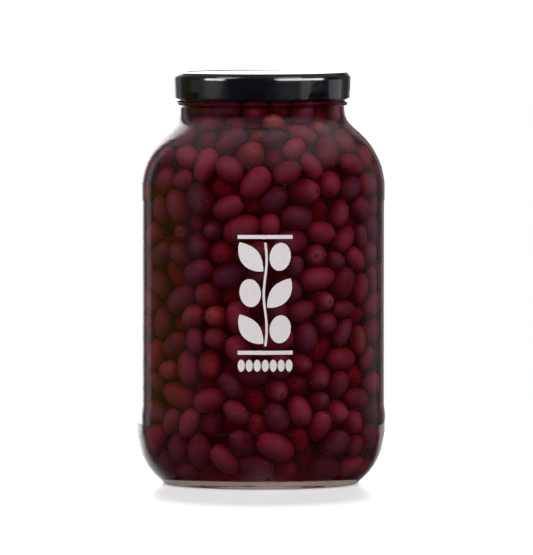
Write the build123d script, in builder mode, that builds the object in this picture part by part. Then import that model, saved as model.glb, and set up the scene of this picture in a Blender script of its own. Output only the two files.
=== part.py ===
from build123d import *
from math import cos, radians, sin, tan
import os

# A wide-mouthed catering jar of small dark olives in brine: a blown clear glass
# jar, filled to the neck, under a lacquered steel twist-off cap.
# Millimetres. The origin is the centre of the ring that the jar stands on, +Z up.

# --- driving dimensions ----------------------------------------------------------

# Glass body, outside. Bumpers are the two raised belts that guard the label panel.
panel_radius = 78.0
lower_bumper_proud = 0.7
lower_bumper_bottom = 32.0
lower_bumper_height = 12.0
lower_bumper_step = 5.6
upper_bumper_proud = 0.4
upper_bumper_height = 10.0
upper_bumper_step = 3.2
panel_height = 127.4
bumper_blend = 10.0

# Heel and base. Below the lower bumper the heel leans in, and then rolls under to a
# steeper slope that ends at the foot. The base is pushed up inside the flat ring that
# the jar stands on.
heel_lean = 11.5
heel_slope = 48.0
heel_radius = 36.0
foot_inset = 16.8
foot_radius = 3.0
standing_ring_inset = 26.0
standing_ring_rounding = 2.0
punt_rise = 4.0
punt_bevel = 12.0
punt_radius = 20.0
base_thickness = 6.0

# Shoulder: it leans in a little at the bumper, and then rolls over to its slope.
shoulder_lean = 10.0
shoulder_slope = 48.0
shoulder_radius = 44.0
shoulder_straight = 6.0
neck_fillet = 14.0

# Neck and finish, the part of the glass that the cap closes on.
finish_radius = 53.4
finish_height = 20.2
neck_waist = 0.6
neck_height = 7.6
bead_proud = 1.4
bead_height = 3.4
bead_bevel = 0.7
bead_foot_radius = 0.6
bead_top_radius = 0.5
rim_rounding = 1.2

# Glass walls.
wall = 2.8
inner_heel_radius = 22.0
inner_foot_radius = 8.0

# Interrupted thread of the finish, and the lugs of the cap that turn in under it.
lug_count = 8
thread_proud = 1.7
thread_width = 2.2
thread_arc = 34.0
thread_rise = 2.0
thread_root = 0.6
lug_arc = 14.0
lug_grip = 0.9
lug_height = 1.5
lug_clearance = 0.25
first_lug_angle = -4.3

# Cap, pressed from one sheet of steel.
sheet = 0.3
thread_gap = 0.95
skirt_taper = 0.5
cap_clearance = 1.2
cap_shoulder_rise = 2.6
cap_shoulder_width = 2.0
cap_ring_inset = 1.6
panel_sink = 0.4
panel_bevel = 1.4
curl_radius = 0.85
cap_bend = 1.1
cap_shoulder_bend = 4.0

# Sealing ring of soft compound, moulded into the cap's ring and pressed on the rim.
liner_thickness = 0.9
liner_overhang = 0.6

# Free space between the rim of the glass and the brine.
headspace = 12.0

# --- heights and radii that follow -----------------------------------------------

lower_bumper_radius = panel_radius + lower_bumper_proud
upper_bumper_radius = panel_radius + upper_bumper_proud
standing_ring_radius = panel_radius - standing_ring_inset
foot_corner_radius = panel_radius - foot_inset
lean_tangent = tan(radians(heel_lean))
slope_tangent = tan(radians(heel_slope))
heel_run = lower_bumper_radius - lower_bumper_bottom * lean_tangent - foot_corner_radius
heel_corner_z = heel_run / (slope_tangent - lean_tangent)
heel_corner_radius = foot_corner_radius + heel_corner_z * slope_tangent
lower_bumper_top = lower_bumper_bottom + lower_bumper_height
panel_bottom = lower_bumper_top + lower_bumper_step
panel_top = panel_bottom + panel_height
upper_bumper_bottom = panel_top + upper_bumper_step
upper_bumper_top = upper_bumper_bottom + upper_bumper_height

neck_radius = finish_radius - neck_waist
bead_radius = finish_radius + bead_proud
mouth_radius = neck_radius - wall

# The shoulder's roll is as large as the run down to the neck leaves room for.
lean_sine = sin(radians(shoulder_lean))
slope_sine = sin(radians(shoulder_slope))
roll_factor = tan(radians((shoulder_slope - shoulder_lean) / 2))
neck_tangent = neck_fillet * tan(radians(shoulder_slope / 2))
fall = upper_bumper_radius - neck_radius - shoulder_straight * lean_sine
roll_room = (fall / slope_sine - neck_tangent - shoulder_straight) / (1 + lean_sine / slope_sine)
shoulder_roll = min(shoulder_radius, roll_room / roll_factor)
lean_run = shoulder_roll * roll_factor + shoulder_straight
shoulder_corner_radius = upper_bumper_radius - lean_run * lean_sine
shoulder_corner_z = upper_bumper_top + lean_run * cos(radians(shoulder_lean))
slope_drop = (shoulder_corner_radius - neck_radius) / tan(radians(shoulder_slope))
neck_corner_z = shoulder_corner_z + slope_drop
bead_bottom = neck_corner_z + neck_height
bead_top = bead_bottom + bead_height
rim_z = bead_bottom + finish_height
brine_level = rim_z - headspace

# The cap is built down from the sealing ring that rests on the rim.
cap_ring_z = rim_z + liner_thickness + sheet / 2
cap_corner_z = cap_ring_z - cap_shoulder_rise
cap_bottom = bead_top + cap_clearance
thread_radius = finish_radius + thread_proud
skirt_foot_radius = thread_radius + thread_gap + sheet / 2
skirt_top_radius = skirt_foot_radius + skirt_taper
cap_ring_outer = skirt_top_radius - cap_shoulder_width
cap_ring_inner = mouth_radius - cap_ring_inset
lug_tip_radius = thread_radius - lug_grip
lug_top = cap_bottom + lug_height
thread_foot = lug_top + lug_clearance + thread_width / 2


def beside(corners, distance):
    """The polyline's copy at a distance to its left, corner by corner.

    Each corner moves along the sum of the normals of the two straights that meet
    there, which leaves both straights at the same distance.
    """
    points = [Vector(*corner) for corner in corners]
    normals = []
    for start, end in zip(points, points[1:]):
        normals.append((end - start).normalized().rotate(Axis.Z, 90))
    before = [normals[0]] + normals
    after = normals + [normals[-1]]
    return [
        point + (one + two) * (distance / (1 + one.dot(two)))
        for point, one, two in zip(points, before, after)
    ]


# Inside of the glass from the centre of the floor up to the mouth. It follows the
# heel, the panel and the shoulder, and runs straight behind the steps and the finish.
floor_z = punt_rise + base_thickness
base_line = base_thickness - wall
inner_wall = beside(
    [
        (standing_ring_radius, base_line),
        (foot_corner_radius + base_line * slope_tangent, base_line),
        (heel_corner_radius, heel_corner_z),
        (panel_radius, lower_bumper_bottom - lower_bumper_proud / lean_tangent),
        (panel_radius, panel_top),
        (upper_bumper_radius, upper_bumper_top),
        (shoulder_corner_radius, shoulder_corner_z),
        (neck_radius, neck_corner_z),
        (neck_radius, rim_z),
    ],
    wall,
)
inner_corners = [
    (0, floor_z),
    (standing_ring_radius - punt_bevel - wall, floor_z),
    *inner_wall[:-1],
]
inner_radii = [
    punt_radius,
    punt_radius,
    inner_foot_radius,
    inner_heel_radius,
    bumper_blend,
    bumper_blend,
    bumper_blend,
    shoulder_roll - wall,
    neck_fillet + wall,
]

# --- glass jar -------------------------------------------------------------------

outer_corners = [
    (0, punt_rise),
    (standing_ring_radius - punt_bevel, punt_rise),
    (standing_ring_radius, 0),
    (foot_corner_radius, 0),
    (heel_corner_radius, heel_corner_z),
    (lower_bumper_radius, lower_bumper_bottom),
    (lower_bumper_radius, lower_bumper_top),
    (panel_radius, panel_bottom),
    (panel_radius, panel_top),
    (upper_bumper_radius, upper_bumper_bottom),
    (upper_bumper_radius, upper_bumper_top),
    (shoulder_corner_radius, shoulder_corner_z),
    (neck_radius, neck_corner_z),
    (neck_radius, bead_bottom),
    (bead_radius, bead_bottom + bead_bevel),
    (bead_radius, bead_top - bead_bevel),
    (finish_radius, bead_top),
    (finish_radius, rim_z),
]
outer_radii = [
    punt_radius,
    standing_ring_rounding,
    foot_radius,
    heel_radius,
    bumper_blend,
    bumper_blend,
    bumper_blend,
    bumper_blend,
    bumper_blend,
    bumper_blend,
    shoulder_roll,
    neck_fillet,
    bead_foot_radius,
    bead_height / 4,
    bead_height / 4,
    bead_top_radius,
    rim_rounding,
]

# One ridge of the interrupted thread: a rounded rail that climbs round the finish.
thread_lead = thread_rise * 360 / thread_arc
with BuildPart() as thread_ridge:
    with BuildLine():
        ramp = Helix(thread_lead, thread_rise, finish_radius, center=(0, 0, thread_foot))
    with BuildSketch(Plane(ramp @ 0, x_dir=(1, 0, 0), z_dir=ramp % 0)):
        with BuildLine():
            Polyline(
                (-thread_root, thread_width / 2),
                (0, thread_width / 2),
                (thread_proud, thread_width / 4),
                (thread_proud, -thread_width / 4),
                (0, -thread_width / 2),
                (-thread_root, -thread_width / 2),
                close=True,
            )
        make_face()
    sweep(is_frenet=True)

with BuildPart() as glass_jar:
    with BuildSketch(Plane.XZ):
        with BuildLine():
            section = FilletPolyline(
                *outer_corners,
                (mouth_radius, rim_z),
                *reversed(inner_corners),
                radius=outer_radii + [rim_rounding] + inner_radii[::-1],
            )
            Line(section @ 1, section @ 0)
        make_face()
    revolve(axis=Axis.Z)
    with PolarLocations(0, lug_count, start_angle=first_lug_angle - 90 - thread_arc / 2):
        add(thread_ridge.part)

glass_jar.part.label = "glass_jar"

# --- olives in brine -------------------------------------------------------------

# The filling wets the glass all over and stops at a level surface in the neck.
with BuildPart() as olives_in_brine:
    with BuildSketch(Plane.XZ):
        with BuildLine():
            filling = FilletPolyline(*inner_corners, (mouth_radius, brine_level), radius=inner_radii)
            Polyline(filling @ 1, (0, brine_level), filling @ 0)
        make_face()
    revolve(axis=Axis.Z)

olives_in_brine.part.label = "olives_in_brine"

# --- cap -------------------------------------------------------------------------

# One lug: the curl is pressed in flat, to reach under a ridge of the thread.
with BuildPart() as lug:
    with BuildSketch(Plane.XZ):
        with BuildLine():
            Polyline(
                (lug_tip_radius, cap_bottom),
                (skirt_foot_radius, cap_bottom),
                (skirt_foot_radius, lug_top),
                (lug_tip_radius, lug_top),
                close=True,
            )
        make_face()
    revolve(axis=Axis.Z, revolution_arc=lug_arc)

# The sheet runs from the sunk panel up to the sealing ring, over the shoulder, down
# the skirt and into the curl.
cap_middle = [
    (0, cap_ring_z - panel_sink),
    (cap_ring_inner - panel_bevel, cap_ring_z - panel_sink),
    (cap_ring_inner, cap_ring_z),
    (cap_ring_outer, cap_ring_z),
    (skirt_top_radius, cap_corner_z),
    (skirt_foot_radius, cap_bottom + curl_radius),
]
cap_bends = [cap_bend, cap_bend, cap_bend, cap_shoulder_bend]
curl_centre = (skirt_foot_radius - curl_radius + sheet / 2, cap_bottom + curl_radius)
with BuildPart() as lid:
    with BuildSketch(Plane.XZ):
        with BuildLine():
            cap_outside = FilletPolyline(*beside(cap_middle, sheet / 2), radius=cap_bends)
            inside_bends = [bend - sheet for bend in cap_bends]
            cap_inside = FilletPolyline(*beside(cap_middle, -sheet / 2), radius=inside_bends)
            Line(cap_outside @ 0, cap_inside @ 0)
            Line(cap_outside @ 1, cap_inside @ 1)
        make_face()
        with Locations(curl_centre):
            Circle(curl_radius)
            Circle(curl_radius - sheet, mode=Mode.SUBTRACT)
    revolve(axis=Axis.Z)
    with PolarLocations(0, lug_count, start_angle=first_lug_angle - 90 - lug_arc / 2):
        add(lug.part)

lid.part.label = "lid"

# --- sealing ring ----------------------------------------------------------------

with BuildPart() as lid_liner:
    with BuildSketch(Plane.XZ):
        with BuildLine():
            Polyline(
                (mouth_radius - liner_overhang, rim_z),
                (finish_radius + liner_overhang, rim_z),
                (finish_radius + liner_overhang, rim_z + liner_thickness),
                (mouth_radius - liner_overhang, rim_z + liner_thickness),
                close=True,
            )
        make_face()
    revolve(axis=Axis.Z)

lid_liner.part.label = "lid_liner"

# --- written parts ---------------------------------------------------------------

os.makedirs("parts", exist_ok=True)
for piece in (glass_jar, olives_in_brine, lid, lid_liner):
    export_step(piece.part, f"parts/{piece.part.label}.step")
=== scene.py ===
import bpy
import numpy as np
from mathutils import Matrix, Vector


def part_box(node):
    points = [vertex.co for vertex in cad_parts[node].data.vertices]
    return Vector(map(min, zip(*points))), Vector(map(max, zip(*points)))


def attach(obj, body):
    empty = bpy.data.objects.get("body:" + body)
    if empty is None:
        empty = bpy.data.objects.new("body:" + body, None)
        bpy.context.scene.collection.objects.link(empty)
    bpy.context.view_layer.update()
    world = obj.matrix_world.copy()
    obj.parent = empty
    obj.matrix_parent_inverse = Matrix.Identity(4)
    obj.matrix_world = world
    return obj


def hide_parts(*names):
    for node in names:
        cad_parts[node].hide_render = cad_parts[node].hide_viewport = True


# A four-litre catering jar of small dark olives, standing on a pale table.
# Metres. The jar's axis is +Z, and the printed side of the glass faces -Y.
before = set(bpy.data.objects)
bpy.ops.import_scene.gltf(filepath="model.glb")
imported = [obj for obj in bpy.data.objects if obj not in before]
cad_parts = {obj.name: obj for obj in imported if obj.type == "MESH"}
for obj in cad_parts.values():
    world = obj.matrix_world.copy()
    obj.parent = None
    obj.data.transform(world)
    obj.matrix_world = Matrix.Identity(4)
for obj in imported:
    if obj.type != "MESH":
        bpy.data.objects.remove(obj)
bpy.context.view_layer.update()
mm = 0.001


# --- the glass jar ---------------------------------------------------------------
# One blown piece of clear soda-lime glass, fire-polished. Two raised belts guard the
# panel that carries the print, and the base is pushed up inside its standing ring.
def rounded(corners, radii, step=6.0):
    """An outline through the corners, each but the ends replaced by an arc of its radius.

    An arc meets both straights a tangent length t = r tan(turn / 2) from its corner,
    and has a point about every `step` degrees.
    """
    corners = np.asarray(corners, float)
    outline = [corners[0]]
    for before, corner, after, radius in zip(corners, corners[1:], corners[2:], radii):
        into = (corner - before) / np.linalg.norm(corner - before)
        out = (after - corner) / np.linalg.norm(after - corner)
        turn = np.arctan2(into[0] * out[1] - into[1] * out[0], into @ out)
        start = corner - into * radius * np.tan(abs(turn) / 2)
        normal = np.array([-into[1], into[0]]) * np.sign(turn)
        count = max(2, int(np.ceil(np.degrees(abs(turn)) / step)) + 1)
        sweep = np.linspace(0, turn, count)[:, None]
        spoke = -normal * radius
        across = np.array([-spoke[1], spoke[0]])
        outline.extend(start - spoke + spoke * np.cos(sweep) + across * np.sin(sweep))
    outline.append(corners[-1])
    return np.array(outline)


def divided(outline, longest):
    """The outline with extra points, evenly spaced, on every run over `longest`."""
    dense = [outline[:1]]
    for start, end in zip(outline, outline[1:]):
        pieces = max(1, int(np.ceil(np.linalg.norm(end - start) / longest)))
        dense.append(start + (end - start) * (np.arange(1, pieces + 1) / pieces)[:, None])
    return np.concatenate(dense)


def spun(outline, segments):
    """An outline that starts and ends on the Z axis, spun round it: points and faces.

    Row i, column j lies at (r_i cos a_j, r_i sin a_j, z_i), with a_j = 2 pi j / n. Each
    end is one point with a fan of triangles, so the skin is closed at both poles.
    """
    angles = np.arange(segments) * 2 * np.pi / segments
    rings = outline[1:-1]
    height = np.repeat(rings[:, 1:], segments, axis=1)
    grid = np.stack([rings[:, :1] * np.cos(angles), rings[:, :1] * np.sin(angles), height], axis=-1)
    ends = np.array([[0, 0, outline[0, 1]], [0, 0, outline[-1, 1]]])
    here = np.arange(len(rings) * segments).reshape(-1, segments)
    beside = np.roll(here, -1, axis=1)
    quads = np.stack([here[:-1], beside[:-1], beside[1:], here[1:]], axis=-1).reshape(-1, 4)
    first = np.full(segments, here.size)
    first_fan = np.stack([first, beside[0], here[0]], axis=-1)
    last_fan = np.stack([first + 1, here[-1], beside[-1]], axis=-1)
    faces = quads.tolist() + first_fan.tolist() + last_fan.tolist()
    return np.concatenate([grid.reshape(-1, 3), ends]), faces


def made(name, points, faces, material, smooth=True):
    """A mesh object at the origin, from an array of points and a list of faces."""
    mesh = bpy.data.meshes.new(name)
    mesh.from_pydata(points.tolist(), [], faces)
    mesh.polygons.foreach_set("use_smooth", np.full(len(faces), smooth))
    mesh.materials.append(material)
    piece = bpy.data.objects.new(name, mesh)
    bpy.context.scene.collection.objects.link(piece)
    return piece


rim_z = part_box("glass_jar")[1][2]
panel = 78 * mm
neck = 52.8 * mm
bead = 54.8 * mm
finish = 53.4 * mm
mouth = 50 * mm
bead_top = rim_z - 16.8 * mm
bead_foot = bead_top - 3.4 * mm
bead_bevel = 0.7 * mm
floor = 10 * mm
# The corners of the outside from the middle of the underside up to the rim, and the
# radius in millimetres that rounds each of them but the first.
jar_outside = [
    (0, 4 * mm),
    (40 * mm, 4 * mm),
    (52 * mm, 0),
    (61.2 * mm, 0),
    (74.65 * mm, 12.11 * mm),
    (78.7 * mm, 32 * mm),
    (78.7 * mm, 44 * mm),
    (panel, 49.6 * mm),
    (panel, 177 * mm),
    (78.4 * mm, 180.2 * mm),
    (78.4 * mm, 190.2 * mm),
    (74.73 * mm, 211.03 * mm),
    (neck, 230.77 * mm),
    (neck, bead_foot),
    (bead, bead_foot + bead_bevel),
    (bead, bead_top - bead_bevel),
    (finish, bead_top),
    (finish, rim_z),
    (mouth, rim_z),
]
outside_radii = [20, 2, 3, 36, 10, 10, 10, 10, 10, 10, 44, 14, 0.6, 0.85, 0.85, 0.5, 1.2, 1.2]
# The same for the inside, from the middle of the floor up to the foot of the neck.
jar_inside = [
    (0, floor),
    (37.2 * mm, floor),
    (52 * mm, 6 * mm),
    (63.68 * mm, 6 * mm),
    (72.09 * mm, 13.58 * mm),
    (75.2 * mm, 28.84 * mm),
    (75.2 * mm, 177.04 * mm),
    (75.59 * mm, 190 * mm),
    (72.14 * mm, 209.59 * mm),
    (mouth, 229.53 * mm),
]
inside_radii = [20, 20, 8, 22, 10, 10, 10, 41.2, 16.8]
jar_radii = np.array(outside_radii + inside_radii[::-1]) * mm
jar_outline = divided(rounded(jar_outside + jar_inside[::-1], jar_radii), 1.5 * mm)
segments = 168
jar_points, jar_faces = spun(jar_outline, segments)

# Eight short thread ridges swell out of the finish for the cap's lugs, each as a
# parabola across, and fade at both ends over a twelfth of their length.
ridge_pitch = 45
ridge_arc = 34
ridge_start = -4
ridge_climb = 2 * mm
ridge_proud = 1.7 * mm
ridge_half_width = 1.3 * mm
ridge_foot = bead_top + 5.15 * mm
around = np.degrees(np.arctan2(jar_points[:, 1], jar_points[:, 0]))
radial = np.hypot(jar_points[:, 0], jar_points[:, 1])
climb = np.mod(around - ridge_start, ridge_pitch) / ridge_arc
on_ridge = (climb < 1) & (radial > finish - 0.1 * mm)
across = (jar_points[:, 2] - ridge_foot - climb * ridge_climb) / ridge_half_width
fade = np.clip(12 * climb, 0, 1) * np.clip(12 * (1 - climb), 0, 1)
swell = ridge_proud * np.clip(1 - across**2, 0, 1) * fade
jar_points[:, :2] *= (1 + np.where(on_ridge, swell, 0) / np.maximum(radial, mm))[:, None]


def new_finish(name):
    """A new material, its node tree and its surface shader."""
    material = bpy.data.materials.new(name)
    material.use_nodes = True
    return material, material.node_tree, material.node_tree.nodes["Principled BSDF"]


def fill(tree, node, values):
    """Set a node's sockets: an output is linked, and a number or colour is kept."""
    for name, value in values.items():
        socket = node.inputs[name]
        if isinstance(value, bpy.types.NodeSocket):
            tree.links.new(value, socket)
        elif socket.type == "RGBA":
            socket.default_value = (*value, 1)
        else:
            socket.default_value = value


def add(tree, kind, values):
    """A new node of a kind, with its sockets filled."""
    node = tree.nodes.new(kind)
    fill(tree, node, values)
    return node


def own_place(tree):
    """Where the surface is, from the jar's origin."""
    return tree.nodes.new("ShaderNodeTexCoord").outputs["Object"]


def cloud(tree, scale, detail=2):
    """A soft noise from 0 to 1 on the surface's own place."""
    values = {"Vector": own_place(tree), "Scale": scale, "Detail": detail}
    return add(tree, "ShaderNodeTexNoise", values).outputs["Fac"]


def bumped(tree, height, strength, distance):
    """The normal of a surface that stands out by the distance where the height is 1."""
    values = {"Height": height, "Strength": strength, "Distance": distance}
    return add(tree, "ShaderNodeBump", values).outputs["Normal"]


def between(tree, factor, first, second):
    """The colour that is the factor's share of the way from the first to the second."""
    mix = tree.nodes.new("ShaderNodeMix")
    mix.data_type = "RGBA"
    fill(tree, mix, {"Factor": factor, "A": first, "B": second})
    return mix.outputs["Result"]


def worked_out(tree, operation, *values):
    """What a sum gives for its values, each an output or a number."""
    node = tree.nodes.new("ShaderNodeMath")
    node.operation = operation
    fill(tree, node, dict(enumerate(values)))
    return node.outputs["Value"]


def let_light_in(tree):
    """Shadow and diffuse rays pass straight through, so lamps light what is inside."""
    ray = tree.nodes.new("ShaderNodeLightPath").outputs
    passing = worked_out(tree, "MAXIMUM", ray["Is Shadow Ray"], ray["Is Diffuse Ray"])
    surface = tree.nodes["Principled BSDF"].outputs["BSDF"]
    open_way = tree.nodes.new("ShaderNodeBsdfTransparent").outputs["BSDF"]
    choice = add(tree, "ShaderNodeMixShader", {"Fac": passing, 1: surface, 2: open_way})
    fill(tree, tree.nodes["Material Output"], {"Surface": choice.outputs["Shader"]})


glass_index = 1.5
brine_index = 1.35
clear_glass, tree, polished = new_finish("clear_glass")
ripple = bumped(tree, cloud(tree, 16, detail=1), 0.1, 0.002)
fill(tree, polished, {"Base Color": (0.985, 0.995, 0.99), "Transmission Weight": 1})
fill(tree, polished, {"IOR": glass_index, "Roughness": 0, "Normal": ripple})
let_light_in(tree)
jar = made("jar_glass", jar_points, jar_faces, clear_glass)

# Where brine wets the inner wall, light bends only by the ratio of the two indices. A
# row of faces lies between two rings, and the fans at the two poles come last.
brine_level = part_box("olives_in_brine")[1][2]
wetted_glass = clear_glass.copy()
wetted_glass.name = "wetted_glass"
tree = wetted_glass.node_tree
fill(tree, tree.nodes["Principled BSDF"], {"IOR": glass_index / brine_index})
row = np.arange(len(jar_outline) - 3)
row_z = jar_outline[1:-2, 1]
wet_row = (row > row_z.argmax()) & (row_z < brine_level)
wet_face = np.concatenate([np.repeat(wet_row, segments), np.repeat([False, True], segments)])

# The underside is stippled all over in a mottled grey-green. It bends no light, so what
# comes up from the table gets straight into the glass.
stippled_glass = clear_glass.copy()
stippled_glass.name = "stippled_glass"
tree = stippled_glass.node_tree
stipple = between(tree, cloud(tree, 60), (0.12, 0.14, 0.08), (0.95, 0.97, 0.78))
fill(tree, tree.nodes["Principled BSDF"], {"IOR": 1, "Base Color": stipple})
heel_row = np.flatnonzero(jar_outline[:, 0] > 60 * mm)[0]
under_face = np.repeat(row < heel_row - 2, segments)
under_face = np.concatenate([under_face, np.repeat([True, False], segments)])
jar.data.materials.append(wetted_glass)
jar.data.materials.append(stippled_glass)
jar.data.polygons.foreach_set("material_index", (wet_face + 2 * under_face).astype(np.int32))
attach(jar, "root")
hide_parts("glass_jar")


# --- the brine ---------------------------------------------------------------------
# Pickling brine, stained red-brown by the olives. It wets the whole inside of the
# glass, and its level stands in the neck, behind the cap's skirt.
def left_of(line):
    """The unit normal to the left of a flat line at each point: its way, turned by 90."""
    way = np.gradient(line, axis=0)
    way /= np.linalg.norm(way, axis=1)[:, None]
    return np.stack([-way[:, 1], way[:, 0]], axis=1)


into_glass = 0.15 * mm
wetted = divided(rounded(jar_inside + [(mouth, brine_level)], np.array(inside_radii) * mm), 3 * mm)
brine_skin = wetted - left_of(wetted) * into_glass
brine_skin[0, 0] = 0
# The level creeps up the glass at its edge, over the last four millimetres.
from_glass = np.array([0.4, 1.0, 2.0, 4.0, 25.0, 50.0]) * mm
level_drop = np.array([0.0, 0.6, 0.95, 1.2, 1.2, 1.2]) * mm
brine_top = np.stack([mouth - from_glass, brine_level - level_drop], axis=1)
brine_outline = np.concatenate([brine_skin, brine_top])
brine_points, brine_faces = spun(brine_outline, segments)

stained_brine, tree, liquid = new_finish("stained_brine")
haze = between(tree, cloud(tree, 30), (1, 0.96, 0.96), (1, 1, 1))
fill(tree, liquid, {"Base Color": haze, "Transmission Weight": 1})
fill(tree, liquid, {"IOR": brine_index, "Roughness": 0})
stain = add(tree, "ShaderNodeVolumeAbsorption", {"Color": (0.84, 0.08, 0.26), "Density": 130})
fill(tree, tree.nodes["Material Output"], {"Volume": stain.outputs["Volume"]})
let_light_in(tree)
brine = made("brine", brine_points, brine_faces, stained_brine)

# Against the wall the wetted glass has already bent the light.
brine_at_wall = stained_brine.copy()
brine_at_wall.name = "brine_at_wall"
tree = brine_at_wall.node_tree
fill(tree, tree.nodes["Principled BSDF"], {"IOR": 1})
brine.data.materials.append(brine_at_wall)
at_wall = np.repeat(np.arange(len(brine_outline) - 3) < len(brine_skin) - 2, segments)
at_wall = np.concatenate([at_wall, np.repeat([True, False], segments)])
brine.data.polygons.foreach_set("material_index", at_wall.astype(np.int32))
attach(brine, "root")
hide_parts("olives_in_brine")


# --- the olives ----------------------------------------------------------------------
# Small oval olives with their stones in, about 20 by 15 mm and no two alike, tipped in
# loose. Pushing apart those that overlap, while they swell to full size, packs them.
olive_count = 900
heart_radius = 30 * mm
surface_gap = 3 * mm
rng = np.random.default_rng(11)
lining = rounded(jar_inside + [(mouth, brine_level - surface_gap)], np.array(inside_radii) * mm)
lining = divided(np.concatenate([lining, [(0, brine_level - surface_gap)]]), 1.5 * mm)
inward = left_of(lining)


def from_wall(points):
    """How far inside the jar's lining each point is, and the way inward from there.

    In the (r, z) plane, the gap is the dot product of the lining's inward normal and
    the offset from the lining's nearest point.
    """
    radial = np.hypot(points[:, 0], points[:, 1])
    flat = np.stack([radial, points[:, 2]], axis=1)
    nearest = ((flat[:, None, :] - lining[None]) ** 2).sum(axis=2).argmin(axis=1)
    normal = inward[nearest]
    gap = ((flat - lining[nearest]) * normal).sum(axis=1)
    spoke = points[:, :2] / np.maximum(radial, 1e-9)[:, None]
    return gap, np.concatenate([spoke * normal[:, :1], normal[:, 1:]], axis=1)


def nearest_along(offset, axis_a, half_a, axis_b, half_b):
    """Where two olives' long axes come nearest, as a distance along each from its centre.

    The free minimum of |a + s u - b - t v| is kept within the first olive, the second
    follows it within its own length, and the first follows once more.
    """
    slant = (axis_a * axis_b).sum(axis=1)
    along_a = (axis_a * offset).sum(axis=1)
    along_b = (axis_b * offset).sum(axis=1)
    s = np.clip((along_a - slant * along_b) / np.maximum(1 - slant**2, 1e-6), -half_a, half_a)
    t = np.clip(slant * s - along_b, -half_b, half_b)
    return np.clip(slant * t + along_a, -half_a, half_a), t


half_width = rng.normal(7.15, 0.75, olive_count).clip(5.5, 9.0) * mm
half_length = half_width * rng.normal(1.36, 0.13, olive_count).clip(1.08, 1.7)
# Eight places for each olive, scattered evenly round the heart of the jar and over its
# height. The first of them that are clear of the wall are taken.
tries = olive_count * 8
heights = rng.uniform(14, 234, tries) * mm
spread = np.sqrt(rng.uniform(0.16, 1, tries)) * 72 * mm
swing = rng.uniform(0, 2 * np.pi, tries)
tipped_in = np.stack([spread * np.cos(swing), spread * np.sin(swing), heights], axis=1)
clear_of_wall = from_wall(tipped_in)[0] > 8 * mm
centres = tipped_in[clear_of_wall][:olive_count]
axes = rng.normal(size=(olive_count, 3))
axes /= np.linalg.norm(axes, axis=1)[:, None]

# Each step undoes a share of every overlap, by a shift and by a twist about the centre.
swelling, settling = ((240, 200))
first_size = 0.45
growth = 0.55
apart_share = 0.4
inside_share = 0.5
neighbours_every = 8
reach = 25 * mm
for step in range(swelling + settling):
    size = first_size + growth * min(1.0, step / swelling)
    radius = half_width * size
    half = (half_length - half_width) * size
    if step % neighbours_every == 0:
        apart = ((centres[:, None, :] - centres[None]) ** 2).sum(axis=2)
        one, two = np.nonzero(np.triu(apart < reach**2, 1))
    between_centres = centres[two] - centres[one]
    s, t = nearest_along(between_centres, axes[one], half[one], axes[two], half[two])
    gap = between_centres + axes[two] * t[:, None] - axes[one] * s[:, None]
    distance = np.maximum(np.linalg.norm(gap, axis=1), 1e-9)
    overlap = np.maximum(radius[one] + radius[two] - distance, 0)
    push = gap * (overlap * apart_share / distance)[:, None]
    lever = (half_length * size) ** 2 * 0.5
    shift = np.zeros((olive_count, 3))
    twist = np.zeros((olive_count, 3))
    np.add.at(shift, one, -push)
    np.add.at(shift, two, push)
    np.add.at(twist, one, -push * (s / lever[one])[:, None])
    np.add.at(twist, two, push * (t / lever[two])[:, None])
    for end in (-1, 1):
        room, normal = from_wall(centres + axes * (end * half)[:, None])
        lack = np.maximum(radius - room, 0)[:, None] * normal * inside_share
        shift += lack
        twist += lack * end / half_length[:, None]
    off_axis = np.maximum(np.hypot(centres[:, 0], centres[:, 1]), 1e-6)
    into_heart = np.maximum(heart_radius + radius * 0.7 - off_axis, 0)
    shift[:, :2] += centres[:, :2] * (into_heart / off_axis)[:, None] * inside_share
    centres += shift
    axes += twist
    axes /= np.linalg.norm(axes, axis=1)[:, None]


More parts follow.
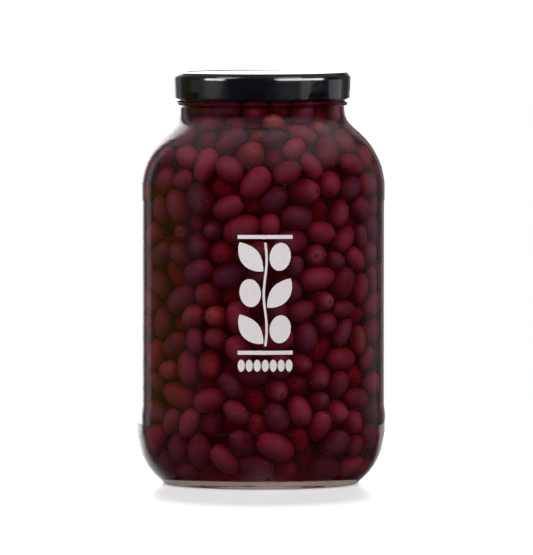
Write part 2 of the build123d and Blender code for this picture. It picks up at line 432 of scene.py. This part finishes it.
def olive_skins(chosen):
    """Points, faces and skin values of the chosen olives, 12 points round by 6 rings.

    A ring at the polar angle q lies -L cos q along the axis and W sin(q)^0.85 from it,
    with an egg's taper to the tip, a slight bow and a slight out-of-round. The stem
    pole is pressed in and the tip pole is drawn out to a small point.
    """
    count = len(chosen)
    around = 12
    polar = np.radians([20, 48, 76, 104, 132, 158])[None, :, None]
    turned = (np.arange(around) * 2 * np.pi / around)[None, None, :]
    on_rings = polar.size * around
    corners = on_rings + 2
    width, length = half_width[chosen], half_length[chosen]
    axis = axes[chosen]
    side = np.cross(axis, rng.normal(size=(count, 3)))
    side /= np.linalg.norm(side, axis=1)[:, None]
    other = np.cross(axis, side)
    taper = rng.uniform(0.0, 0.12, count)[:, None, None]
    bow = rng.uniform(0.0, 0.1, count)[:, None, None]
    oval = rng.uniform(0.0, 0.035, count)[:, None, None]
    lie = rng.uniform(0, np.pi, count)[:, None, None]
    girth = np.sin(polar) ** 0.85 * (1 + taper * np.cos(polar)) * width[:, None, None]
    girth = girth * (1 + oval * np.cos(2 * turned + lie))
    bowed = bow * (np.sin(polar) ** 2 - 0.5) * width[:, None, None]
    along = -np.cos(polar) * length[:, None, None]
    to_side = girth * np.cos(turned) + bowed
    to_other = girth * np.sin(turned)
    middle = centres[chosen][:, None, None]
    rings = middle + along[..., None] * axis[:, None, None] + to_side[..., None] * side[:, None, None]
    rings = rings + to_other[..., None] * other[:, None, None]
    stem = centres[chosen] - axis * (length * 0.9)[:, None]
    tip = centres[chosen] + axis * (length * 1.05)[:, None]
    points = [rings.reshape(count, on_rings, 3), stem[:, None], tip[:, None]]
    here = np.arange(on_rings).reshape(-1, around)
    beside = np.roll(here, -1, axis=1)
    quads = np.stack([here[:-1], beside[:-1], beside[1:], here[1:]], axis=-1).reshape(-1, 4)
    stem_fan = np.stack([np.full(around, on_rings), beside[0], here[0]], axis=-1)
    tip_fan = np.stack([np.full(around, on_rings + 1), here[-1], beside[-1]], axis=-1)
    first = (np.arange(count) * corners)[:, None, None]
    faces = (quads + first).reshape(-1, 4).tolist()
    faces += (stem_fan + first).reshape(-1, 3).tolist() + (tip_fan + first).reshape(-1, 3).tolist()
    tone = np.repeat(rng.uniform(0, 1, count), corners)
    share = np.concatenate([np.repeat(np.degrees(polar).ravel() / 180, around), [0.0, 1.0]])
    blush = np.repeat(rng.uniform(0, 1, count), corners)
    skin = np.stack([tone, np.tile(share, count), blush, np.ones(count * corners)], axis=1)
    return np.concatenate(points, axis=1).reshape(-1, 3), faces, skin


def ramp(tree, factor, stops):
    """The colour that a ramp has at the factor, from pairs of a position and a colour."""
    node = add(tree, "ShaderNodeValToRGB", {"Fac": factor})
    marks = node.color_ramp.elements
    marks.remove(marks[1])
    marks[0].position = stops[0][0]
    marks[0].color = (*stops[0][1], 1)
    for position, colour in stops[1:]:
        marks.new(position).color = (*colour, 1)
    return node.outputs["Color"]


def ranged(tree, value, low, high, to_low=0, to_high=1):
    """The value carried in a straight line from low..high to to_low..to_high, and no further."""
    values = {"Value": value, "From Min": low, "From Max": high, "To Min": to_low, "To Max": to_high}
    return add(tree, "ShaderNodeMapRange", values).outputs["Result"]


def olive_skin_finish(name, dark, ripe, pale):
    """A matt, waxy skin: dark to ripe by the olive's own tone, paler at its stem end.

    Blotches from a coarse noise shift it along the same ramp, small pale lenticels dot
    it, and the stem's scar is a dark point in the pale end. A faint red glow stands for
    the light that the flesh and the cloudy brine pass on into the gaps.
    """
    material, tree, waxy = new_finish(name)
    own = tree.nodes.new("ShaderNodeAttribute")
    own.attribute_name = "skin"
    split = add(tree, "ShaderNodeSeparateColor", {"Color": own.outputs["Color"]}).outputs
    blotch = cloud(tree, 140, detail=3)
    offset = worked_out(tree, "MULTIPLY_ADD", blotch, 0.9, -0.32)
    ripeness = worked_out(tree, "MULTIPLY_ADD", split["Red"], 0.75, offset)
    body = ramp(tree, ripeness, [(0, dark), (1, ripe)])
    paleness = [(0, 0), (0.04, 0), (0.065, 0.5), (0.11, 0.4), (0.2, 0.15), (0.36, 0)]
    stem_end = ramp(tree, split["Green"], [(share, (level,) * 3) for share, level in paleness])
    blushed = between(tree, worked_out(tree, "MULTIPLY", stem_end, split["Blue"]), body, pale)
    pores = add(tree, "ShaderNodeTexVoronoi", {"Vector": own_place(tree), "Scale": 700})
    dots = ranged(tree, pores.outputs["Distance"], 0.2, 0.1, to_high=0.05)
    wrinkle = bumped(tree, blotch, 0.3, 0.0006)
    fill(tree, waxy, {"Base Color": between(tree, dots, blushed, pale), "Normal": wrinkle})
    fill(tree, waxy, {"Roughness": 0.5, "Specular IOR Level": 0.1})
    fill(tree, waxy, {"Emission Color": (0.013, 0.0012, 0.003), "Emission Strength": 1})
    return material


# Each kind has its share of the heap and its dark, ripe and pale colours.
kinds = [
    ("wine", 0.56, (0.06, 0.006, 0.013), (0.23, 0.024, 0.046), (0.34, 0.09, 0.09)),
    ("plum", 0.32, (0.035, 0.006, 0.014), (0.14, 0.018, 0.045), (0.26, 0.07, 0.085)),
    ("russet", 0.12, (0.09, 0.013, 0.013), (0.24, 0.04, 0.034), (0.36, 0.12, 0.08)),
]
heap = []
kind_of = rng.choice(len(kinds), olive_count, p=[share for _, share, *_ in kinds])
for number, (kind, share, dark, ripe, pale) in enumerate(kinds):
    points, faces, skin = olive_skins(np.flatnonzero(kind_of == number))
    olives = made(f"olives_{kind}", points, faces, olive_skin_finish(f"olive_{kind}", dark, ripe, pale))
    values = olives.data.attributes.new("skin", "FLOAT_COLOR", "POINT")
    values.data.foreach_set("color", skin.ravel())
    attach(olives, "root")
    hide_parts("olives_in_brine")
    heap.append(olives)

# The middle of the heap is a lumpy column that shows only as darkness between olives.
heart_z = np.linspace(14, 226, 60) * mm
heart_r = heart_radius * (1 + 0.05 * np.sin(heart_z / (7 * mm)) + 0.03 * np.sin(heart_z / (4.1 * mm)))
heart_line = np.concatenate([[(0, 12 * mm)], np.stack([heart_r, heart_z], axis=1), [(0, 228 * mm)]])
heart_points, heart_faces = spun(heart_line, 72)
about = np.arctan2(heart_points[:, 1], heart_points[:, 0])
heart_points[:, :2] *= (1 + 0.05 * np.sin(11 * about + heart_points[:, 2] / (5 * mm)))[:, None]
heart = made("heart_of_heap", heart_points, heart_faces, bpy.data.materials["olive_plum"])
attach(heart, "root")
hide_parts("olives_in_brine")
heap.append(heart)


# --- crumbs and bubbles in the brine ------------------------------------------------------
# Crumbs of pale olive skin hang in the brine near the glass, and a few bubbles of air
# that came in with the olives still cling to the wall.
wall_row = np.flatnonzero((lining[:, 0] > 45 * mm) & (lining[:, 1] > 12 * mm))


def near_wall(count, depth):
    """Random places all round the jar, each at its own depth from the wall."""
    row = rng.choice(wall_row, count)
    swing = rng.uniform(0, 2 * np.pi, count)
    flat = lining[row] + inward[row] * depth[:, None]
    height = flat[:, 1] + rng.uniform(-0.75, 0.75, count) * mm
    return np.stack([flat[:, 0] * np.cos(swing), flat[:, 0] * np.sin(swing), height], axis=1)


def copies(places, sizes, points, faces):
    """One mesh of a small shape at many places: each place plus its size times the points.

    The faces of a copy are the shape's own, counted on from its first corner.
    """
    spots = places[:, None] + points[None] * sizes[:, None, None]
    first = (np.arange(len(places)) * len(points))[:, None, None]
    many = []
    for corners in sorted({len(face) for face in faces}):
        alike = np.array([face for face in faces if len(face) == corners])
        many += (alike + first).reshape(-1, corners).tolist()
    return spots.reshape(-1, 3), many


crumb_count = 1500
eight_sided = np.array([(1, 0, 0), (0, 1, 0), (-1, 0, 0), (0, -1, 0), (0, 0, 1), (0, 0, -1)], float)
eight_faces = [(0, 1, 4), (1, 2, 4), (2, 3, 4), (3, 0, 4), (1, 0, 5), (2, 1, 5), (3, 2, 5), (0, 3, 5)]
crumb_size = rng.uniform(0.12, 0.32, crumb_count) * mm
crumb_at = near_wall(crumb_count, rng.uniform(0.4, 5, crumb_count) * mm)
crumb_points, crumb_faces = copies(crumb_at, crumb_size, eight_sided, eight_faces)
crumb_skin, tree, flake = new_finish("pale_crumbs")
pale_flesh = between(tree, cloud(tree, 90), (0.30, 0.12, 0.12), (0.75, 0.55, 0.5))
fill(tree, flake, {"Base Color": pale_flesh})
crumbs = made("crumbs", crumb_points, crumb_faces, crumb_skin)
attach(crumbs, "root")

bubble_count = 36
bubble_size = rng.uniform(0.35, 1.0, bubble_count) * mm
half_turn = np.linspace(0, np.pi, 9)
ball, ball_faces = spun(np.stack([np.sin(half_turn), -np.cos(half_turn)], axis=1), 14)
bubble_at = near_wall(bubble_count, bubble_size + 0.1 * mm)
bubble_points, bubble_faces = copies(bubble_at, bubble_size, ball, ball_faces)
trapped_air, tree, air = new_finish("trapped_air")
film = ranged(tree, cloud(tree, 400), 0, 1, to_high=0.1)
fill(tree, air, {"Transmission Weight": 1, "IOR": brine_index, "Roughness": film})
bubbles = made("bubbles", bubble_points, bubble_faces, trapped_air)
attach(bubbles, "root")


# --- the print -------------------------------------------------------------------------
# Opaque white glass ink, screen-printed straight on the panel and fired on. A plain
# olive sprig stands between two bars, over a row of small ovals.
ink = 0.06 * mm
bedded = 0.02 * mm
thinnest = 0.05
ribbons = []


def ribbon(spine, half_width):
    """A band on the panel: three points across for each point of a flat spine (x, z).

    The flat shape is wrapped round the glass, x to the angle x / r, with one layer just
    under the glass's skin and one an ink's thickness above it, closed all round.
    """
    spine = np.asarray(spine, float)
    aside = left_of(spine) * np.asarray(half_width)[:, None]
    flat = np.stack([spine - aside, spine, spine + aside], axis=1)
    turn = flat[..., 0] / panel
    layers = []
    for radius in (panel + ink, panel - bedded):
        layers.append(np.stack([radius * np.sin(turn), -radius * np.cos(turn), flat[..., 1]], axis=-1))
    points = np.stack(layers).reshape(-1, 3)
    rows = len(spine)
    top = np.arange(rows * 3).reshape(rows, 3)
    under = top + rows * 3
    faces = [np.stack([top[:-1, :-1], top[:-1, 1:], top[1:, 1:], top[1:, :-1]], axis=-1)]
    faces.append(np.stack([under[:-1, :-1], under[1:, :-1], under[1:, 1:], under[:-1, 1:]], axis=-1))
    edge = np.concatenate([top[:, 0], top[-1, 1:], top[-2::-1, 2], top[0, 1:2]])
    onward = np.roll(edge, -1)
    faces.append(np.stack([edge, onward, onward + rows * 3, edge + rows * 3], axis=-1))
    ribbons.append((points, np.concatenate([face.reshape(-1, 4) for face in faces])))


def leaf(foot, length, width, degrees, curl):
    """A pointed leaf: its half-width is w sin(pi s)^0.8 along a gently curled spine."""
    s = np.linspace(0, 1, 15)
    lie = np.radians(degrees) + curl * (s - 0.5) * 2
    step = np.stack([np.cos(lie), np.sin(lie)], axis=1) * length / 14
    spine = np.array(foot) + np.cumsum(step, axis=0) - step[0]
    ribbon(spine * mm, np.maximum(width / 2 * np.sin(np.pi * s) ** 0.8, thinnest) * mm)


def berry(middle, length, width, degrees):
    """A plain oval: half-width w sqrt(1 - u^2) along a straight spine from u -1 to 1."""
    u = -np.cos(np.linspace(0, np.pi, 13))
    way = np.array([np.cos(np.radians(degrees)), np.sin(np.radians(degrees))])
    spine = np.array(middle) + u[:, None] * way * length / 2
    ribbon(spine * mm, np.maximum(width / 2 * np.sqrt(1 - u**2), thinnest) * mm)


def bar(low_z, high_z, half_length):
    """A straight bar across the print, with a point about every two millimetres."""
    x = np.linspace(-half_length, half_length, 19)
    spine = np.stack([x, np.full(19, (low_z + high_z) / 2)], axis=1)
    ribbon(spine * mm, np.full(19, (high_z - low_z) / 2) * mm)


# Sizes and places of the print are in millimetres, from its middle line and the table.
bar_half = 17.3
bar(157.8, 160.2, bar_half)
bar(85.5, 88.0, bar_half)
# Three rows of a leaf beside an olive, in turn left and right of one thin stalk.
stalk_foot, stalk_height = 90.8, 64.6
climb = np.linspace(0, 1, 25)
stalk = np.stack([0.9 * np.sin(climb * 9.4), stalk_foot + climb * stalk_height], axis=1)
ribbon(stalk * mm, np.full(25, 0.75) * mm)
row_foot, row_pitch = 92.0, 22.6
for row, side in ((0, 1), (1, -1), (2, 1)):
    foot = row_foot + row * row_pitch
    berry((side * 9.4, foot + 9.4), 17.6, 13.4, 90 - side * 8)
    leaf((-side * 1.2, foot + 0.4), 23.5, 12.2, 90 + side * 40, -side * 0.16)
for place_x in np.linspace(-15.0, 15.0, 7):
    berry((place_x, 78.65), 7.5, 4.5, 90)
ink_points = np.concatenate([points for points, _ in ribbons])
starts = np.cumsum([0] + [len(points) for points, _ in ribbons])
ink_faces = np.concatenate([faces + start for (_, faces), start in zip(ribbons, starts)])
# The print's middle line lies three millimetres to the right of the jar's.
turn = 3 * mm / panel
turned_x = ink_points[:, 0] * np.cos(turn) - ink_points[:, 1] * np.sin(turn)
turned_y = ink_points[:, 0] * np.sin(turn) + ink_points[:, 1] * np.cos(turn)
ink_points = np.stack([turned_x, turned_y, ink_points[:, 2]], axis=1)

fired_white, tree, enamel = new_finish("fired_white_ink")
white = between(tree, cloud(tree, 900), (0.72, 0.66, 0.67), (0.86, 0.81, 0.82))
fill(tree, enamel, {"Base Color": white, "Roughness": 0.45})
printed = made("white_print", ink_points, ink_faces.tolist(), fired_white, smooth=False)
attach(printed, "root")


# --- the cap -----------------------------------------------------------------------------
# A lug cap pressed from 0.3 mm tinplate and lacquered black. Its edge is curled inward,
# and eight places of the curl are pinched in and up into lugs, which hold the threads.
def eased(share):
    """A share kept within 0 and 1, with a soft start and end: 3 s^2 - 2 s^3."""
    share = np.clip(share, 0, 1)
    return share * share * (3 - 2 * share)


cap_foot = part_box("lid")[0][2]
cap_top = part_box("lid")[1][2]
plate = 0.3 * mm
curl_radius = 0.85 * mm
curl_middle = (55.5 * mm, cap_foot + curl_radius)
cap_line = [
    (0, cap_top - 0.55 * mm),
    (47 * mm, cap_top - 0.55 * mm),
    (48.4 * mm, cap_top - plate / 2),
    (54.7 * mm, cap_top - plate / 2),
    (56.7 * mm, cap_top - 2.75 * mm),
    (56.2 * mm, cap_foot + curl_radius),
]
sheet = divided(rounded(cap_line, np.array([1.1, 1.1, 1.1, 4]) * mm), 1.2 * mm)
outward = left_of(sheet)
outer_skin = sheet + outward * plate / 2
inner_skin = sheet - outward * plate / 2
inner_skin = inner_skin[inner_skin[:, 1] > cap_foot + 1.9 * mm]
outer_skin[0, 0] = inner_skin[0, 0] = 0
roll = np.radians(np.arange(60, 360, 15.0))
curl = np.stack([np.cos(roll), np.sin(roll)], axis=1) * curl_radius + np.array(curl_middle)
cap_points, cap_faces = spun(np.concatenate([inner_skin, curl, outer_skin[::-1]]), 360)

lug_pitch = 45
first_lug = -94.3
lug_half_arc = 8.5
lug_ease = 5
lug_rise = 0.7 * mm
lug_reach = 0.9 * mm
lug_depth = 4 * mm
skirt_radius = 56 * mm
bearing = np.degrees(np.arctan2(cap_points[:, 1], cap_points[:, 0]))
from_lug = np.abs(np.mod(bearing - first_lug + lug_pitch / 2, lug_pitch) - lug_pitch / 2)
pinch = eased((lug_half_arc - from_lug) / lug_ease)
pinch *= eased((cap_foot + 5 * mm - cap_points[:, 2]) / lug_depth)
cap_points[:, 2] += lug_rise * pinch
cap_points[:, :2] *= (1 - lug_reach * pinch / skirt_radius)[:, None]

black_lacquer, tree, lacquer = new_finish("black_lacquer")
peel = cloud(tree, 260)
depth = between(tree, peel, (0.0045, 0.0045, 0.0075), (0.008, 0.008, 0.013))
gloss = ranged(tree, peel, 0, 1, 0.10, 0.16)
orange_peel = bumped(tree, peel, 0.06, 0.0004)
fill(tree, lacquer, {"Base Color": depth, "Roughness": gloss, "Normal": orange_peel})
cap = made("cap", cap_points, cap_faces, black_lacquer)
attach(cap, "root")
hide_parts("lid")


# --- the cap's liner ----------------------------------------------------------------------
# A ring of soft plastisol compound, flowed into the cap's channel and cured there. It
# seals on the glass rim. Its shape comes from the frame, and here it gets its finish.
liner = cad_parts["lid_liner"]
plastisol, tree, soft_ring = new_finish("plastisol")
cream = between(tree, cloud(tree, 500), (0.60, 0.56, 0.48), (0.68, 0.64, 0.56))
fill(tree, soft_ring, {"Base Color": cream, "Roughness": 0.6})
for slot in liner.material_slots:
    slot.material = plastisol


# --- the table ------------------------------------------------------------------------------
# A round white table top under the jar, two centimetres thick and lightly glossed. It
# glows white to the eye and through the glass, with a soft painted shade under the jar.
table_radius = 0.6
table_line = np.array([(0, -0.02), (1, -0.02), (1, 0), (0.6, 0), (0.2, 0), (0, 0)]) * (table_radius, 1)
table_points, table_faces = spun(table_line, 96)


def off_middle(tree, place):
    """How far a place is from the origin."""
    node = tree.nodes.new("ShaderNodeVectorMath")
    node.operation = "LENGTH"
    fill(tree, node, {0: place})
    return node.outputs["Value"]


table_white, tree, top = new_finish("table_white")
place = own_place(tree)
ray = tree.nodes.new("ShaderNodeLightPath").outputs
card = between(tree, cloud(tree, 400), (0.50, 0.50, 0.52), (0.54, 0.54, 0.56))
# An oval of painted shade starts under the jar and ends a jar's width in front of it.
oval = add(tree, "ShaderNodeMapping", {"Vector": place})
oval.vector_type = "TEXTURE"
fill(tree, oval, {"Location": (0, -0.09, 0), "Scale": (0.092, 0.135, 1)})
values = {"Value": off_middle(tree, oval.outputs["Vector"])}
values |= {"From Min": 0.62, "From Max": 1.05, "To Min": 0.64, "To Max": 1}
shade = add(tree, "ShaderNodeMapRange", values)
shade.interpolation_type = "SMOOTHSTEP"
# A darker ring of painted shade lies right round the jar's foot.
painted_shade_at_foot = ranged(tree, off_middle(tree, place), 0.060, 0.070, 0.4, 1)
shaded = worked_out(tree, "MULTIPLY", shade.outputs["Result"], painted_shade_at_foot)
direct = worked_out(tree, "MAXIMUM", ray["Is Camera Ray"], ray["Is Transmission Ray"])
glow = worked_out(tree, "MULTIPLY", shaded, direct)
# In reflections the table is bright, by painted light, only in the wedge behind the jar
# that the sweep lights, whose sides spread 5 parts in 6 as wide as they run back.
split = add(tree, "ShaderNodeSeparateXYZ", {0: place}).outputs
aside = worked_out(tree, "ABSOLUTE", split["X"])
wedge = worked_out(tree, "MULTIPLY_ADD", aside, -1.2, split["Y"])
behind = ranged(tree, wedge, -0.09, -0.05, to_high=0.55)
glow = worked_out(tree, "MULTIPLY_ADD", behind, ray["Is Reflection Ray"], glow)
mirror_only = worked_out(tree, "MULTIPLY", ray["Is Glossy Ray"], ray["Is Reflection Ray"])
dark_ahead = between(tree, mirror_only, card, (0.03, 0.03, 0.03))
fill(tree, top, {"Base Color": dark_ahead, "Roughness": 0.3})
fill(tree, top, {"Emission Color": (1, 1, 1), "Emission Strength": glow})
table = made("table_top", table_points, table_faces, table_white, smooth=False)


# --- the room -------------------------------------------------------------------------------
# A white sweep hangs behind the table. What the glass and the lacquer mirror is a dim
# room with a few cards in it, and everything else is lit by its plain grey level.
studio = bpy.data.worlds.new("studio")
bpy.context.scene.world = studio
studio.use_nodes = True
tree = studio.node_tree
toward = tree.nodes.new("ShaderNodeTexCoord").outputs["Generated"]
split = add(tree, "ShaderNodeSeparateXYZ", {0: toward}).outputs
compass = worked_out(tree, "ARCTAN2", split["X"], split["Y"])
share_round = ranged(tree, compass, -np.pi, np.pi)
brightest = 6


def share_of_brightest(colour):
    """A ramp holds no more than 1, so the room's colours are shares of the brightest."""
    return tuple(level / brightest for level in colour)


def panorama(room):
    """A ramp of brightness by bearing: pairs of degrees from the sweep and a colour."""
    stops = [((degrees + 180) / 360, share_of_brightest(colour)) for degrees, colour in room]
    return ramp(tree, share_round, stops)


# At eye level there is a strong white panel behind on the left, with a dull green card
# beside it, and grey cards on the right. High up there is only the ceiling.
eye_level = panorama(
    [
        (-180, (0.01, 0.01, 0.01)),
        (-126, (0.01, 0.01, 0.01)),
        (-120, (0.10, 0.09, 0.10)),
        (-107, (0.13, 0.11, 0.12)),
        (-103, (0.08, 0.12, 0.02)),
        (-58, (0.11, 0.12, 0.02)),
        (-54, (0.50, 0.45, 0.45)),
        (-48, (0.60, 0.55, 0.56)),
        (-45, (0.16, 0.14, 0.15)),
        (-40, (0.5, 0.48, 0.5)),
        (-35, (4.2, 4.2, 4.5)),
        (-4, (4.2, 4.2, 4.5)),
        (2, (0.3, 0.3, 0.3)),
        (22, (0.25, 0.25, 0.25)),
        (27, (0.08, 0.08, 0.08)),
        (40, (0.08, 0.08, 0.08)),
        (43, (0.2, 0.2, 0.22)),
        (56, (0.15, 0.15, 0.17)),
        (66, (0.08, 0.08, 0.09)),
        (76, (0.015, 0.015, 0.015)),
    ]
)
ceiling = panorama(
    [
        (-180, (0.22, 0.22, 0.23)),
        (-135, (0.32, 0.31, 0.33)),
        (-100, (0.48, 0.46, 0.50)),
        (-60, (0.42, 0.40, 0.44)),
        (0, (0.6, 0.6, 0.62)),
        (90, (0.50, 0.49, 0.52)),
        (140, (0.52, 0.51, 0.55)),
        (172, (0.26, 0.26, 0.27)),
    ]
)
# The green card is a low one: higher up its bearing is a plain grey.
low_down = ranged(tree, split["Z"], 0.10, 0)
faded = add(tree, "ShaderNodeHueSaturation", {"Saturation": low_down, "Color": eye_level})
high_up = ranged(tree, split["Z"], 0.42, 0.72)
mirrored_room = between(tree, high_up, faded.outputs["Color"], ceiling)
# A low white card stands right behind, its foot at the level of the cap.
above_foot = worked_out(tree, "GREATER_THAN", split["Z"], 0.006)
below_top = worked_out(tree, "LESS_THAN", split["Z"], 0.12)
straight_behind = worked_out(tree, "GREATER_THAN", split["Y"], 0.985)
on_card = worked_out(tree, "MULTIPLY", above_foot, below_top)
on_card = worked_out(tree, "MULTIPLY", on_card, straight_behind)
mirrored_room = between(tree, on_card, mirrored_room, share_of_brightest((2.4, 2.4, 2.4)))
# Straight through the glass, and to the eye, the sweep is white.
ray = tree.nodes.new("ShaderNodeLightPath").outputs
white_sweep = share_of_brightest((1.0, 1.0, 1.0))
behind = worked_out(tree, "GREATER_THAN", split["Y"], 0.75)
through = worked_out(tree, "MULTIPLY", behind, ray["Is Transmission Ray"])
mirrored_room = between(tree, through, mirrored_room, white_sweep)
mirrored = worked_out(tree, "MAXIMUM", ray["Is Glossy Ray"], ray["Is Transmission Ray"])
lit_room = between(tree, mirrored, share_of_brightest((0.26, 0.26, 0.265)), mirrored_room)
shown = between(tree, ray["Is Camera Ray"], lit_room, white_sweep)
fill(tree, tree.nodes["Background"], {"Color": shown, "Strength": brightest})


# --- the lamps ------------------------------------------------------------------------------
# Softboxes light what is inside the glass, with one more for the print. The cap has
# strips of its own along the top corner of its skirt, and cards that the skirt mirrors.
def softbox(name, degrees, height, distance, size, watts, lit):
    """A rectangular lamp on a bearing from the camera's side, aimed at the jar's middle."""
    lamp = bpy.data.lights.new(name, "AREA")
    lamp.shape = "RECTANGLE"
    lamp.size, lamp.size_y = size
    lamp.energy = watts
    holder = bpy.data.objects.new(name, lamp)
    way = np.radians(degrees)
    holder.location = (distance * np.sin(way), -distance * np.cos(way), height)
    aim = Vector((0, 0, 0.14)) - holder.location
    holder.rotation_euler = aim.to_track_quat("-Z", "Y").to_euler()
    holder.visible_camera = False
    holder.visible_transmission = False
    holder.light_linking.receiver_collection = lit
    bpy.context.scene.collection.objects.link(holder)
    return holder


def lit_by(name, pieces):
    """A group of the pieces that a lamp lights."""
    group = bpy.data.collections.new(name)
    for piece in pieces:
        group.objects.link(piece)
    return group


inside = lit_by("inside_the_glass", heap + [crumbs, bubbles, printed, cap, liner])
softbox("softbox_left", -50, 1.15, 1.1, (0.6, 0.6), 5.5, inside)
softbox("softbox_right", 42, 1.1, 1.2, (0.8, 0.6), 9.5, inside)
softbox("softbox_print", -20, 1.2, 1.2, (0.6, 0.6), 12, lit_by("print_face", [printed]))
edge = lit_by("cap_edge", [cap])
for name, degrees, height, size, watts in (
    ("strip_left", -61, 0.56, (0.75, 0.7), 28),
    ("strip_right", 54, 0.6, (2.0, 0.7), 75),
    ("card_left", -76, 0.1, (1.3, 0.3), 0.26),
    ("card_right", 60, 0.1, (0.4, 0.3), 0.3),
    ("card_far_right", 112, 0.1, (0.8, 0.3), 0.6),
):
    softbox(name, degrees, height, 1.5, size, watts, edge).visible_diffuse = False


# --- the camera -----------------------------------------------------------------------------
# A long lens far off, a little above the level of the cap, aimed at the jar's middle
# and wide enough to leave a small margin all round.
eye = bpy.data.objects.new("camera", bpy.data.cameras.new("camera"))
eye_at = Vector((3.8 * mm, -5.647, 0.4149))
look_at = Vector((3.8 * mm, 0, 0.1298))
view_height = 0.3506
sensor = 36
eye.location = eye_at
eye.rotation_euler = (look_at - eye_at).to_track_quat("-Z", "Y").to_euler()
eye.data.sensor_width = sensor
eye.data.lens = sensor * (look_at - eye_at).length / view_height
eye.data.clip_end = 100
bpy.context.scene.collection.objects.link(eye)
bpy.context.scene.camera = eye
bpy.context.scene.view_settings.view_transform = "Standard"
